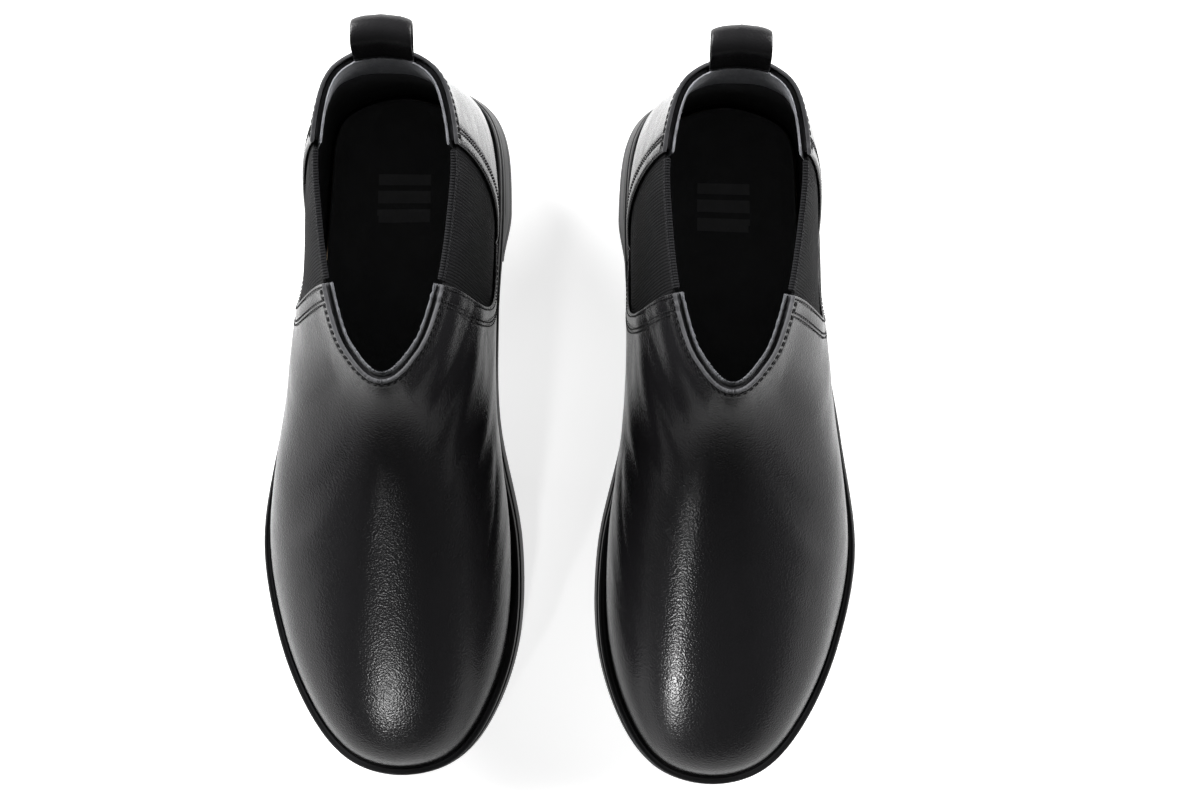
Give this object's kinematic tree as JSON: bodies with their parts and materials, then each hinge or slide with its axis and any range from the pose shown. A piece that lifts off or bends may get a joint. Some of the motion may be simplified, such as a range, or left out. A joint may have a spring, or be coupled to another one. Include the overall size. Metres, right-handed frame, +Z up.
{
  "type": "chelsea boot",
  "caption": "Pair of ankle boots with elastic side panels, a pull tab at the back, a flat heel and a grooved rubber sole.",
  "frame": {"origin": "on the floor under the middle of the pair's bounding box", "axes": "+Z up; the toes point to -Y and the heels to +Y; +X is the wearer's left, so the left boot is at +X"},
  "size_m": [0.2577, 0.3117, 0.1708],
  "materials": {
    "upper_leather": "smooth full grain, soft gloss",
    "lining_leather": "matt",
    "suede": "short nap",
    "tape": "woven",
    "tab_leather": "smooth full grain, soft gloss",
    "elastic": "ribbed elastic",
    "elastic_binding": "ribbed elastic",
    "rubber": "satin moulded",
    "steel": "plain strip",
    "cork": "ground cork",
    "fibreboard": "pressed fibre",
    "foam": "foam under a matt cover"
  },
  "bodies": {
    "boots": {"left_outsole": "rubber", "left_heel_block": "rubber", "left_top_lift": "rubber", "left_midsole": "rubber", "left_welt": "rubber", "left_shank": "steel", "left_cork_filler": "cork", "left_insole_board": "fibreboard", "left_footbed": "foam", "left_toe_puff": "fibreboard", "left_vamp": "upper_leather", "left_vamp_lining": "lining_leather", "left_vamp_collar": "suede", "left_vamp_tape": "tape", "left_gore_outer": "elastic", "left_gore_inner": "elastic", "left_gore_binding_outer": "elastic_binding", "left_gore_binding_inner": "elastic_binding", "right_outsole": "rubber", "right_heel_block": "rubber", "right_top_lift": "rubber", "right_midsole": "rubber", "right_welt": "rubber", "right_shank": "steel", "right_cork_filler": "cork", "right_insole_board": "fibreboard", "right_footbed": "foam", "right_toe_puff": "fibreboard", "right_vamp": "upper_leather", "right_vamp_lining": "lining_leather", "right_vamp_collar": "suede", "right_vamp_tape": "tape", "right_gore_outer": "elastic", "right_gore_inner": "elastic", "right_gore_binding_outer": "elastic_binding", "right_gore_binding_inner": "elastic_binding"},
    "left_back": {"left_quarter": "upper_leather", "left_quarter_lining": "lining_leather", "left_quarter_collar": "suede", "left_quarter_tape_outer": "tape", "left_quarter_tape_inner": "tape", "left_heel_counter": "fibreboard", "left_tab_anchor": "tab_leather"},
    "left_tab": {"left_pull_tab": "tab_leather"},
    "right_back": {"right_quarter": "upper_leather", "right_quarter_lining": "lining_leather", "right_quarter_collar": "suede", "right_quarter_tape_outer": "tape", "right_quarter_tape_inner": "tape", "right_heel_counter": "fibreboard", "right_tab_anchor": "tab_leather"},
    "right_tab": {"right_pull_tab": "tab_leather"}
  },
  "joints": [
    {"name": "left_collar_stretch", "type": "hinge", "parent": "boots", "child": "left_back", "pos_m": [0.06956, 0.14195, 0.0337], "axis": [-0.9998, 0.0187, 0], "range_deg": [0, 4], "stiffness_Nm_per_rad": 6, "deforming": ["left_gore_outer", "left_gore_inner", "left_gore_binding_outer", "left_gore_binding_inner"]},
    {"name": "left_tab_bend", "type": "hinge", "parent": "left_back", "child": "left_tab", "pos_m": [0.06949, 0.13806, 0.1546], "axis": [-0.9998, 0.0187, 0], "range_deg": [-35, 38], "stiffness_Nm_per_rad": 0.02},
    {"name": "right_collar_stretch", "type": "hinge", "parent": "boots", "child": "right_back", "pos_m": [-0.06609, 0.14586, 0.0337], "axis": [-0.9999, 0.0119, 0], "range_deg": [0, 4], "stiffness_Nm_per_rad": 6, "deforming": ["right_gore_outer", "right_gore_inner", "right_gore_binding_outer", "right_gore_binding_inner"]},
    {"name": "right_tab_bend", "type": "hinge", "parent": "right_back", "child": "right_tab", "pos_m": [-0.06614, 0.14196, 0.1546], "axis": [-0.9999, 0.0119, 0], "range_deg": [-35, 38], "stiffness_Nm_per_rad": 0.02}
  ]
}
